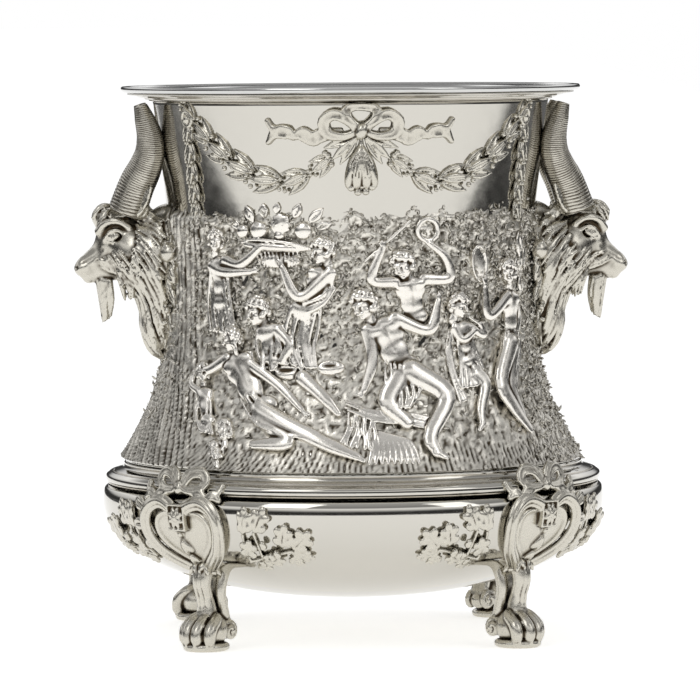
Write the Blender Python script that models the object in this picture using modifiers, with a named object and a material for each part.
"""Silver champagne bucket with goat-head handles, four paw feet and a lift-out liner.

Front is -Y, the goat heads point along -X and +X, and the feet stand on z = 0.
Azimuth is measured from the front (-Y) towards +X. Lengths are in millimetres, and MM makes them metres.
"""

from math import ceil, cos, degrees, hypot, pi, radians, sin

import bmesh
import bpy
from mathutils import Matrix, Vector

MM = 0.001

# ---------------------------------------------------------------- driving dimensions (mm)
SEGMENTS = 36            # facets round every turned shell
SHEET = 1.2              # thickness of the silver sheet
GAP = 0.3                # clearance between pieces that touch
SEAT = 0.6               # clearance under a cast ornament, whose facets cut a little inside the curve
FACET = 11.0             # longest side of a facet of a cast ornament

WALL_TOP, WALL_BOTTOM = 254.0, 84.0
NECK_Z, NECK_R = 152.0, 85.8          # the narrowest place of the wall
MOUTH_FLARE, SKIRT_FLARE = 7.7, 22.2  # how much wider the wall is at its top and at its foot
FRIEZE_TOP = 208.0
FRIEZE_SINK, FRIEZE_THICK = 1.5, 3.0  # the wall steps in behind the frieze, which is this thick

BELLY_R, BELLY_Z, BELLY_DEPTH = 119.0, 66.0, 47.0
BELLY_POWER = 2.15                    # exponent of the superellipse of the bowl
SHOULDER_Z, SHOULDER_R = 73.0, 117.4

LINER_R, LINER_TOP, LINER_BOTTOM = 78.0, 261.0, 40.0
FLANGE_R, FLANGE_THICK = 109.0, 2.8

HEAD_AZIMUTHS = {"right": 90.0, "left": -90.0}
FOOT_AZIMUTHS = {"front_right": 45.0, "back_right": 135.0, "back_left": -135.0, "front_left": -45.0}
HANGER_AZIMUTH = 57.0                 # the garland hangers, each side of the front and back centres
HANGER_Z, DROP_Z, BOW_Z, BUD_Z = 247.3, 227.0, 239.6, 223.0
BOSS_R = 3.1                          # radius of a garland hanger
RELIEF, BUD_RELIEF, SPRAY_RELIEF = 3.0, 4.0, 2.5   # how far the ornaments stand out
CARTOUCHE_Z, SPRAY_Z = 54.0, 53.0
CREST_DOWN = 11.0                     # from the top of its cone to the middle of a ribbon crest
SPRAY_AZIMUTH = 24.6                  # from the middle of a cartouche to the middle of an oak spray
STUD_R, STUD_HOLE_R, NUT_R, NUT_THICK = 2.0, 2.4, 4.6, 3.0


# ---------------------------------------------------------------- surfaces of revolution
def wall_radius(z):
    """Radius of the outside of the wall, as it shows, at a height."""
    if z >= NECK_Z:
        return NECK_R + MOUTH_FLARE * ((z - NECK_Z) / 100) ** 2
    return NECK_R + SKIRT_FLARE * ((NECK_Z - z) / (NECK_Z - WALL_BOTTOM)) ** 2.1


def belly_point(turn):
    """(radius, height) of the bowl: turn 0 is its widest place and 90 its lowest."""
    power = 2 / BELLY_POWER
    return (
        BELLY_R * max(cos(radians(turn)), 0.0) ** power,
        BELLY_Z - BELLY_DEPTH * sin(radians(turn)) ** power,
    )


def shoulder_radius(z):
    return BELLY_R - (BELLY_R - SHOULDER_R) * ((z - BELLY_Z) / (SHOULDER_Z - BELLY_Z)) ** 2


class Meridian:
    """A line (radius, height) that turns round the axis, read by the distance along it."""

    def __init__(self, points):
        self.points = points
        self.lengths = [0.0]
        for a, b in zip(points, points[1:]):
            self.lengths.append(self.lengths[-1] + hypot(b[0] - a[0], b[1] - a[1]))

    def at(self, length):
        """(radius, height, normal radius, normal height) at a distance from the first point."""
        last = len(self.points) - 2
        i = next((k for k in range(last) if self.lengths[k + 1] >= length), last)
        (ra, za), (rb, zb) = self.points[i], self.points[i + 1]
        step = self.lengths[i + 1] - self.lengths[i]
        share = (length - self.lengths[i]) / step
        return ra + (rb - ra) * share, za + (zb - za) * share, -(zb - za) / step, (rb - ra) / step


def wall_points(low, high, count, outward=0.0):
    """The wall's outline from high to low, moved outward by a distance."""
    heights = [high + (low - high) * i / (count - 1) for i in range(count)]
    return [(wall_radius(z) + outward, z) for z in heights]


def belly_points(first_turn, last_turn, count, inward=0.0):
    """The bowl's outline, moved inward by a distance along its normal."""
    points = []
    for i in range(count):
        turn = first_turn + (last_turn - first_turn) * i / (count - 1)
        r, z = belly_point(turn)
        nr = (r / BELLY_R) ** (BELLY_POWER - 1) / BELLY_R
        nz = -((BELLY_Z - z) / BELLY_DEPTH) ** (BELLY_POWER - 1) / BELLY_DEPTH
        size = hypot(nr, nz)
        points.append((max(r - inward * nr / size, 0.0), z - inward * nz / size))
    return points


WALL = Meridian(wall_points(WALL_BOTTOM, WALL_TOP, 120))
BELLY = Meridian(belly_points(0, 80, 120))
CREST_CONE = Meridian([(113.5, 86.0), (121.3, 65.2)])  # clears the waist moulding


def place(azimuth, radius, z):
    a = radians(azimuth)
    return Vector((radius * sin(a), -radius * cos(a), z)) * MM


# ---------------------------------------------------------------- scene, materials, helpers
for old in list(bpy.data.objects):
    bpy.data.objects.remove(old)


def collection(name):
    made = bpy.data.collections.new(name)
    bpy.context.scene.collection.children.link(made)
    return made


PARTS = collection("champagne_bucket")
CUTTERS = collection("cutters")


def material(name, colour, roughness):
    made = bpy.data.materials.new(name)
    made.use_nodes = True
    shader = made.node_tree.nodes["Principled BSDF"]
    shader.inputs["Base Color"].default_value = (*colour, 1)
    shader.inputs["Metallic"].default_value = 1.0
    shader.inputs["Roughness"].default_value = roughness
    return made


POLISHED = material("polished_silver", (0.93, 0.92, 0.88), 0.08)
CHASED = material("chased_silver", (0.80, 0.78, 0.72), 0.22)
CAST = material("cast_silver", (0.84, 0.82, 0.77), 0.18)
PLATED = material("plated_liner", (0.90, 0.90, 0.89), 0.15)
FIXING = material("fixing_brass", (0.72, 0.60, 0.34), 0.35)


def added(name, mesh, finish, group=None):
    obj = bpy.data.objects.new(name, mesh)
    (group or PARTS).objects.link(obj)
    if finish:
        obj.data.materials.append(finish)
    return obj


def hidden(obj):
    """Marks a helper shape, which isn't a part."""
    obj.hide_render = True
    obj.display_type = "WIRE"
    return obj


def mesh_of(name, bm):
    mesh = bpy.data.meshes.new(name)
    bm.to_mesh(mesh)
    bm.free()
    mesh.shade_smooth()
    mesh.set_sharp_from_angle(angle=radians(35))
    return mesh


def turned(name, profile, finish, closed=True, group=None):
    """A ring or a bowl: the profile (radius, height) runs down its outside, then up its inside."""
    bm = bmesh.new()
    verts = [bm.verts.new(Vector((r, 0, z)) * MM) for r, z in profile]
    pairs = list(zip(verts, verts[1:]))
    if closed:
        pairs.append((verts[-1], verts[0]))
    for a, b in pairs:
        bm.edges.new((a, b))
    obj = added(name, mesh_of(name, bm), finish, group)
    screw = obj.modifiers.new("Screw", "SCREW")
    screw.axis = "Z"
    screw.steps = screw.render_steps = SEGMENTS
    screw.use_merge_vertices = True
    screw.merge_threshold = 0.00005
    screw.use_smooth_shade = True
    return obj


def refined(outline):
    """The same closed outline with no side longer than FACET."""
    points = []
    for a, b in zip(outline, outline[1:] + outline[:1]):
        cuts = ceil(hypot(b[0] - a[0], b[1] - a[1]) / FACET)
        points += [(a[0] + (b[0] - a[0]) * i / cuts, a[1] + (b[1] - a[1]) * i / cuts) for i in range(cuts)]
    return points


def applique(name, surface, azimuth, middle, outline, thickness, finish):
    """A cast ornament that hugs a surface: the outline (across, up) is in mm about the middle."""
    bm = bmesh.new()
    outline = refined(outline)
    rings = ceil(max(hypot(x, y) for x, y in outline) / FACET)

    def point(across, up):
        r, z, nr, nz = surface.at(middle - up)
        turn = azimuth + degrees(across / r)
        return bm.verts.new(place(turn, r + nr * SEAT, z + nz * SEAT))

    hub = point(0, 0)
    loops = []
    for ring in range(1, rings + 1):
        share = ring / rings
        loops.append([point(x * share, y * share) for x, y in outline])
    count = len(outline)
    for i in range(count):
        j = (i + 1) % count
        bm.faces.new((hub, loops[0][i], loops[0][j]))
        for inner, outer in zip(loops, loops[1:]):
            bm.faces.new((inner[i], outer[i], outer[j], inner[j]))
    obj = added(name, mesh_of(name, bm), finish)
    solid = obj.modifiers.new("Solidify", "SOLIDIFY")
    solid.thickness = thickness * MM
    solid.offset = 1.0
    return obj


def tube(name, points, radii, finish, group=None, sides=2):
    """A round bar of varying thickness along points in mm."""
    curve = bpy.data.curves.new(name, "CURVE")
    curve.dimensions = "3D"
    curve.bevel_depth = MM
    curve.bevel_resolution = sides
    curve.use_fill_caps = True
    spline = curve.splines.new("POLY")
    spline.points.add(len(points) - 1)
    for target, point, radius in zip(spline.points, points, radii):
        target.co = (*(Vector(point) * MM), 1)
        target.radius = radius
    return added(name, curve, finish, group)


def as_mesh(curve_object):
    """The same shape as a closed mesh object, for cutting and joining."""
    graph = bpy.context.evaluated_depsgraph_get()
    bpy.context.view_layer.update()
    mesh = bpy.data.meshes.new_from_object(curve_object.evaluated_get(graph))
    bm = bmesh.new()
    bm.from_mesh(mesh)
    bmesh.ops.remove_doubles(bm, verts=bm.verts, dist=0.00001)
    bm.to_mesh(mesh)
    bm.free()
    name = curve_object.name
    group = curve_object.users_collection[0]
    matrix = curve_object.matrix_world.copy()
    bpy.data.objects.remove(curve_object)
    obj = bpy.data.objects.new(name, mesh)
    obj.matrix_world = matrix
    group.objects.link(obj)
    return obj


def blob(name, centre, radii, turn=(0, 0, 0), rings=8, around=12):
    """A hidden ellipsoid: centre and radii in mm, turned by degrees about X, Y and Z."""
    bm = bmesh.new()
    bmesh.ops.create_uvsphere(bm, u_segments=around, v_segments=rings, radius=1.0)
    spin = Matrix.Rotation(radians(turn[2]), 4, "Z") @ Matrix.Rotation(radians(turn[1]), 4, "Y")
    spin = spin @ Matrix.Rotation(radians(turn[0]), 4, "X")
    size = Matrix.Diagonal((*(Vector(radii) * MM), 1))
    bm.transform(Matrix.Translation(Vector(centre) * MM) @ spin @ size)
    return hidden(added(name, mesh_of(name, bm), None, CUTTERS))


def cone(name, start, end, r_start, r_end, around=12, group=None, finish=None):
    """A hidden cone or cylinder between two points in mm."""
    start, end = Vector(start) * MM, Vector(end) * MM
    along = end - start
    bm = bmesh.new()
    bmesh.ops.create_cone(
        bm, cap_ends=True, segments=around, radius1=r_start * MM, radius2=r_end * MM, depth=along.length
    )
    turn = along.to_track_quat("Z", "Y").to_matrix().to_4x4()
    bm.transform(Matrix.Translation((start + end) / 2) @ turn)
    obj = added(name, mesh_of(name, bm), finish, group or CUTTERS)
    return obj if group else hidden(obj)


def boolean(obj, other, operation):
    step = obj.modifiers.new(operation.title(), "BOOLEAN")
    step.operation = operation
    step.solver = "EXACT"
    step.object = other


def frozen(name, obj, finish):
    """The evaluated shape of obj as a plain mesh part."""
    bpy.context.view_layer.update()
    graph = bpy.context.evaluated_depsgraph_get()
    mesh = bpy.data.meshes.new_from_object(obj.evaluated_get(graph))
    mesh.materials.clear()
    mesh.transform(obj.matrix_world)
    mesh.shade_smooth()
    mesh.set_sharp_from_angle(angle=radians(35))
    return added(name, mesh, finish)


def turned_copy(name, obj, azimuth):
    """A casting made facing +X, copied to an azimuth."""
    copy = added(name, obj.data, None)
    copy.rotation_euler = (0, 0, radians(azimuth - 90))
    return copy


# ---------------------------------------------------------------- shells
def sunk_wall(z, inward=0.0):
    """Outside of the sheet itself, which steps in behind the frieze."""
    blend = min(max((z - FRIEZE_TOP - GAP) / 4.0, 0.0), 1.0)
    return wall_radius(z) - FRIEZE_SINK * (1 - blend) - inward


WALL_HEIGHTS = [WALL_TOP, 232.0, FRIEZE_TOP + 4.3, FRIEZE_TOP + GAP, 186.0, NECK_Z, 128.0, 105.0, WALL_BOTTOM]


def make_body_shell():
    outside = [(sunk_wall(z), z) for z in WALL_HEIGHTS]
    inside = [(sunk_wall(z, SHEET), z) for z in reversed(WALL_HEIGHTS)]
    return turned("body_shell", outside + inside, POLISHED)


def make_rim_moulding():
    """Three steps and a bead, drawn as one ring that caps the wall."""
    low = WALL_TOP + GAP
    outside = [(103.5, 257.9), (105.8, 257.4), (106.0, 256.8), (101.0, 256.4), (100.0, 255.7)]
    outside += [(97.0, 255.4), (95.6, low)]
    inside = [(wall_radius(WALL_TOP) - SHEET, low), (wall_radius(WALL_TOP) - SHEET, 257.9)]
    return turned("rim_moulding", outside + inside, POLISHED)


def make_liner():
    """A plain can whose rolled flange rests on the rim."""
    under = LINER_TOP - FLANGE_THICK
    outside = [(FLANGE_R - 2.2, LINER_TOP), (FLANGE_R - 0.3, LINER_TOP - 0.7), (FLANGE_R, LINER_TOP - 1.5)]
    outside += [(FLANGE_R - 1.0, under), (LINER_R + 1.5, under), (LINER_R, under - 1.5)]
    outside += [(LINER_R, LINER_BOTTOM + 6), (LINER_R - 6, LINER_BOTTOM), (0, LINER_BOTTOM)]
    inner = LINER_R - SHEET
    inside = [(0, LINER_BOTTOM + SHEET), (inner - 5.5, LINER_BOTTOM + SHEET), (inner, LINER_BOTTOM + 6.5)]
    inside += [(inner, LINER_TOP - 2.5), (inner + 2.5, LINER_TOP - 0.2)]
    return turned("ice_liner", outside + inside, PLATED)


def make_waist_moulding():
    outside = [(108.6, 83.6), (108.6, 82.2), (109.6, 80.6), (113.3, 79.2), (115.4, 78.4)]
    outside += [(117.0, 76.4), (117.2, 74.6), (116.6, SHOULDER_Z + GAP)]
    inside = [(105.0, SHOULDER_Z + GAP), (105.0, 83.6)]
    return turned("waist_moulding", outside + inside, POLISHED)


def make_belly_bowl():
    top = [(107.0, SHOULDER_Z), (SHOULDER_R, SHOULDER_Z), (shoulder_radius(69.5), 69.5)]
    outside = top + belly_points(0, 90, 10)
    inside = belly_points(90, 10, 8, SHEET) + [(BELLY_R - SHEET - 0.4, 69.5)]
    inside += [(SHOULDER_R - 1.4, SHOULDER_Z - SHEET), (107.0, SHOULDER_Z - SHEET)]
    return turned("belly_bowl", outside + inside, POLISHED)


def make_frieze(name, middle):
    """Half of the chased band: a curved sheet between the two goat heads, thickened outwards."""
    edge = 0.3                        # degrees kept clear of the joint between the halves
    step = 360 / SEGMENTS
    turns = [-90 + edge] + [-90 + step * i for i in range(1, SEGMENTS // 2)] + [90 - edge]
    between = [z for z in WALL_HEIGHTS if WALL_BOTTOM < z < FRIEZE_TOP]
    heights = [FRIEZE_TOP - GAP] + between + [WALL_BOTTOM + GAP]
    bm = bmesh.new()
    rows = []
    for z in heights:
        r = wall_radius(z) - FRIEZE_SINK + GAP
        rows.append([bm.verts.new(place(middle + turn, r, z)) for turn in turns])
    for high, low in zip(rows, rows[1:]):
        for i in range(len(turns) - 1):
            bm.faces.new((low[i], low[i + 1], high[i + 1], high[i]))
    obj = added(name, mesh_of(name, bm), CHASED)
    solid = obj.modifiers.new("Solidify", "SOLIDIFY")
    solid.thickness = FRIEZE_THICK * MM
    solid.offset = 1.0
    return obj


# ---------------------------------------------------------------- garlands and ribbons
def swag_point(share):
    """(azimuth from the centre, height) along one garland, from its hanger at 0 to the bow at 1."""
    azimuth = 51.5 - 43.0 * share
    ends = 242.5 + (227.5 - 242.5) * share
    return azimuth, ends - 44.0 * share * (1 - share) * (1.18 - 0.55 * share)


def make_garland(name, centre, side):
    count = 13
    points, radii = [], []
    for i in range(count):
        share = i / (count - 1)
        azimuth, z = swag_point(share)
        radius = 4.6 - 2.2 * (1 - sin(pi * min(share * 1.6, 0.5)))
        points.append(place(centre + side * azimuth, wall_radius(z) + SEAT + radius, z) / MM)
        radii.append(radius)
    return tube(name, points, radii, CAST, sides=1)


BOW_OUTLINE = [(0, 10.5), (9, 12.3), (17, 11.5), (24, 8.5), (42, 9.5)]
BOW_OUTLINE += [(43, 3), (24, -0.5), (14, -4), (5, -4.2)]
BUD_OUTLINE = [(0, 10.2), (2.5, 8), (5.5, 1), (7, -4), (5.5, -8.5), (0, -9.6)]
DROP_OUTLINE = [(0, 15.5), (3.6, 12), (4.4, 3), (3.6, -8), (0, -16)]
HEART_OUTLINE = [(0, 12.5), (9, 14), (20, 13), (27, 7), (28, -1), (22, -9), (13, -13.5), (0, -16)]
CREST_OUTLINE = [(0, 9), (8, 8.6), (15, 5), (16, -1.5), (9, -6.5)]
SPRAY_OUTLINE = [(-18, -13), (-15, 2), (-11, 14), (-3, 15), (4, 8), (12, 11)]
SPRAY_OUTLINE += [(19, 4), (16, -5), (8, -10), (-4, -16)]


def mirrored(half):
    """A whole anticlockwise outline from its right half, which runs from top to bottom."""
    return half[::-1] + [(-x, y) for x, y in half if x > 0]


def counterclockwise(outline):
    area = sum(a[0] * b[1] - b[0] * a[1] for a, b in zip(outline, outline[1:] + outline[:1]))
    return outline if area > 0 else outline[::-1]


def wall_length(z):
    """Distance down the wall's outline to a height."""
    return next(s for s, (_, height) in zip(WALL.lengths, WALL.points) if height <= z)


def belly_length(z):
    return next(s for s, (_, height) in zip(BELLY.lengths, BELLY.points) if height <= z)


# ---------------------------------------------------------------- goat heads, cast facing +X
HORN_PATH = [(106.0, 10.0, 203.5), (101.0, 13.0, 216.5), (97.0, 16.0, 223.5), (95.0, 18.0, 230.0)]
HORN_PATH += [(95.3, 19.5, 237.0), (97.0, 20.5, 244.0), (99.0, 21.0, 252.8)]
HORN_RADII = [7.6, 7.0, 6.3, 5.6, 4.8, 3.9, 2.4]


def make_goat_head():
    head = blob("goat_cage", (88, 0, 177), (21, 22, 33), (0, -12, 0), 10, 14)
    pieces = [
        blob("goat_skull", (108, 0, 190), (14.5, 14.5, 15)),
        cone("goat_muzzle", (108, 0, 186), (126.5, 0, 174.5), 13.0, 6.4),
        blob("goat_nose", (127.0, 0, 174.0), (4.7, 6.2, 5.4)),
        blob("goat_tuft", (116.5, 0, 198), (6, 9, 7.5)),
        cone("goat_beard", (115.5, 0, 171), (117, 0, 148.8), 6.5, 1.6),
        cone("goat_fringe", (103, 0, 176), (105, 0, 162.5), 12, 5),
    ]
    for side in (-1, 1):
        pieces.append(blob("goat_ear", (100.5, side * 17.5, 204.5), (3.2, 4.2, 11), (-side * 52, -22, 0)))
    for piece in pieces:
        boolean(head, piece, "UNION")
    wall = turned("wall_cutter", wall_cutter_profile(), None, closed=False, group=CUTTERS)
    boolean(head, hidden(wall), "DIFFERENCE")
    for side in (-1, 1):
        base, above = Vector(HORN_PATH[0]), Vector(HORN_PATH[1])
        base.y, above.y = side * base.y, side * above.y
        along = (above - base).normalized()
        boolean(head, cone("horn_seat", base, base + along * 22, 8.4, 8.4, 16), "DIFFERENCE")
    stud = cone("goat_stud", (81.0, 0, STUD_Z), (93.0, 0, STUD_Z), STUD_R, STUD_R, 16)
    boolean(head, stud, "UNION")
    return head


def wall_cutter_profile():
    clear = FRIEZE_THICK - FRIEZE_SINK + GAP + SEAT
    return [(0, 235.0)] + wall_points(110.0, 235.0, 10, clear) + [(0, 110.0)]


STUD_Z = 176.0


def make_horn(side):
    points = [Vector((x, side * y, z)) for x, y, z in HORN_PATH]
    points[0] = points[0] + (points[1] - points[0]).normalized() * GAP
    return as_mesh(tube("horn_form", points, HORN_RADII, None, CUTTERS, sides=2))


def make_collar():
    """The leafy border under a goat's neck, a U that follows the wall."""
    points, radii = [], []
    count = 15
    for i in range(count):
        turn = -140 + 280 * i / (count - 1)
        z = 170.0 - 36.0 * cos(radians(turn)) * (1.0 if abs(turn) < 90 else 0.9)
        across = 24.5 * sin(radians(turn)) if abs(turn) < 90 else 24.5 * (1 if turn > 0 else -1)
        radius = 2.6
        reach = wall_radius(z) + FRIEZE_THICK - FRIEZE_SINK + GAP + SEAT + radius
        points.append(place(90 + degrees(across / wall_radius(z)), reach, z) / MM)
        radii.append(radius)
    return as_mesh(tube("collar_form", points, radii, None, CUTTERS, sides=1))


# ---------------------------------------------------------------- feet, cast facing +X
FOOT_STUD_R = 97.0


def foot_seat():
    """(point on the bowl, outward normal) where a foot is bolted."""
    turn = next(t / 10 for t in range(900) if belly_point(t / 10)[0] <= FOOT_STUD_R)
    (ra, za), (rb, zb) = belly_point(turn), belly_point(turn + 0.1)
    slope = Vector((rb - ra, 0, zb - za)).normalized()
    return Vector((ra, 0, za)), Vector((-slope.z, 0, slope.x))


def make_foot():
    leg_points = [(94.0, 0, 42), (99.0, 0, 36), (103.0, 0, 29), (102.5, 0, 22), (101.5, 0, 12)]
    leg = as_mesh(tube("foot_leg", leg_points, [6.5, 7.5, 5.6, 4.4, 6.0], None, CUTTERS, sides=2))
    strut_points = [(86.0, 0, 36), (90.0, 0, 29), (92.5, 0, 20), (92.0, 0, 10)]
    strut = as_mesh(tube("foot_strut", strut_points, [3.4, 3.4, 3.0, 3.0], None, CUTTERS, sides=1))
    pieces = [
        hidden(strut),
        cone("foot_scroll", (91.8, -4.6, 9.0), (91.8, 4.6, 9.0), 5.0, 5.0),
        blob("foot_paw", (101.5, 0, 8.0), (11.5, 9.5, 10.5)),
        cone("foot_pad", (103.0, 0, -0.5), (102.5, 0, 3.0), 10.4, 9.6, 16),
        cone("foot_web", (91.5, 0, 12), (102.0, 0, 12), 3.6, 3.6, 8),
    ]
    for across in (-7.0, -2.4, 2.4, 7.0):
        reach = 107.5 - 0.04 * across * across
        pieces.append(blob("foot_toe", (reach, across, 5.5), (6.3, 2.7, 6.4), (0, 25, 0), 6, 8))
    for piece in pieces:
        boolean(leg, piece, "UNION")
    profile = [(0, 60.0), (118.9, 60.0)] + [(r, z) for r, z in belly_points(12, 90, 16, -SEAT)]
    profile[-1] = (0, profile[-1][1])
    boolean(leg, hidden(turned("belly_cutter", profile, None, closed=False, group=CUTTERS)), "DIFFERENCE")
    floor = cone("floor_cutter", (100, 0, -12), (100, 0, 0), 40, 40, 8)
    boolean(leg, floor, "DIFFERENCE")
    seat, normal = foot_seat()
    boolean(leg, cone("foot_stud", seat + normal * 5, seat - normal * 6, STUD_R, STUD_R, 16), "UNION")
    return hidden(leg)


def make_nut(name, seat, inward):
    """A hexagon nut with a plain hole, lying on the inside of the sheet."""
    start = Vector(seat) + inward * (SHEET + SEAT)
    end = start + inward * NUT_THICK
    nut = cone("nut_blank_" + name, start, end, NUT_R, NUT_R, 6)
    hole = cone("nut_hole_" + name, start - inward * 2, end + inward * 2, STUD_HOLE_R, STUD_HOLE_R, 16)
    boolean(nut, hole, "DIFFERENCE")
    return nut


# ---------------------------------------------------------------- build everything
body_shell = make_body_shell()
make_rim_moulding()
make_liner()
make_waist_moulding()
belly_bowl = make_belly_bowl()
friezes = {"front": make_frieze("frieze_front", 0.0), "back": make_frieze("frieze_back", 180.0)}

boss = [(BOSS_R * cos(radians(a)), BOSS_R * sin(radians(a))) for a in range(0, 360, 45)]
for face, centre, right in (("front", 0.0, 1), ("back", 180.0, -1)):
    for hand, side in (("right", right), ("left", -right)):
        hanger = centre + side * HANGER_AZIMUTH
        make_garland(f"garland_{face}_{hand}", centre, side)
        applique(f"garland_hanger_{face}_{hand}", WALL, hanger, wall_length(HANGER_Z), boss, RELIEF, CAST)
        drop = mirrored(DROP_OUTLINE)
        applique(f"leaf_drop_{face}_{hand}", WALL, hanger, wall_length(DROP_Z), drop, RELIEF, CAST)
    applique(f"ribbon_bow_{face}", WALL, centre, wall_length(BOW_Z), mirrored(BOW_OUTLINE), RELIEF, CAST)
    applique(f"bud_pendant_{face}", WALL, centre, wall_length(BUD_Z), mirrored(BUD_OUTLINE), BUD_RELIEF, CAST)

head_form = make_goat_head()
collar_form = hidden(make_collar())
horn_forms = {side: hidden(make_horn(side)) for side in (-1, 1)}
head_right = frozen("goat_head_right", head_form, CAST)
turned_copy("goat_head_left", head_right, -90.0)
collar_right = frozen("goat_collar_right", collar_form, CAST)
turned_copy("goat_collar_left", collar_right, -90.0)
for side, near in ((-1, "front"), (1, "back")):
    horn = frozen(f"goat_horn_right_{near}", horn_forms[side], CAST)
    far = "back" if near == "front" else "front"
    turned_copy(f"goat_horn_left_{far}", horn, -90.0)
nut_seat = Vector((sunk_wall(STUD_Z), 0, STUD_Z))
goat_nut = frozen("goat_nut_right", make_nut("goat", nut_seat, Vector((-1, 0, 0))), FIXING)
turned_copy("goat_nut_left", goat_nut, -90.0)

foot_form = make_foot()
seat, normal = foot_seat()
foot_nut_form = make_nut("foot", seat, -normal)
first_foot = frozen("foot_front_right", foot_form, CAST)
first_foot.rotation_euler = (0, 0, radians(-45))
first_nut = frozen("foot_nut_front_right", foot_nut_form, FIXING)
first_nut.rotation_euler = (0, 0, radians(-45))
for corner, azimuth in FOOT_AZIMUTHS.items():
    if corner != "front_right":
        turned_copy(f"foot_{corner}", first_foot, azimuth)
        turned_copy(f"foot_nut_{corner}", first_nut, azimuth)
    heart = mirrored(HEART_OUTLINE)
    applique(f"cartouche_{corner}", BELLY, azimuth, belly_length(CARTOUCHE_Z), heart, RELIEF, CAST)
    applique(f"ribbon_crest_{corner}", CREST_CONE, azimuth, CREST_DOWN, mirrored(CREST_OUTLINE), RELIEF, CAST)
    for hand, side in (("a", -1), ("b", 1)):
        spray = counterclockwise([(side * x, y) for x, y in SPRAY_OUTLINE])
        turn = azimuth + side * SPRAY_AZIMUTH
        applique(f"oak_spray_{corner}_{hand}", BELLY, turn, belly_length(SPRAY_Z), spray, SPRAY_RELIEF, CAST)

# Holes for the studs, through the bowl, the wall and the edges of the frieze.
for corner, azimuth in FOOT_AZIMUTHS.items():
    spin = Matrix.Rotation(radians(azimuth - 90), 4, "Z")
    drill = cone(f"foot_drill_{corner}", seat + normal * 4, seat - normal * 4, STUD_HOLE_R, STUD_HOLE_R, 16)
    drill.data.transform(spin)
    boolean(belly_bowl, drill, "DIFFERENCE")
for hand, azimuth in HEAD_AZIMUTHS.items():
    across = 1 if azimuth > 0 else -1
    ends = (across * 78, 0, STUD_Z), (across * 96, 0, STUD_Z)
    drill = cone(f"goat_drill_{hand}", *ends, STUD_HOLE_R, STUD_HOLE_R, 16)
    for sheet in (body_shell, *friezes.values()):
        boolean(sheet, drill, "DIFFERENCE")
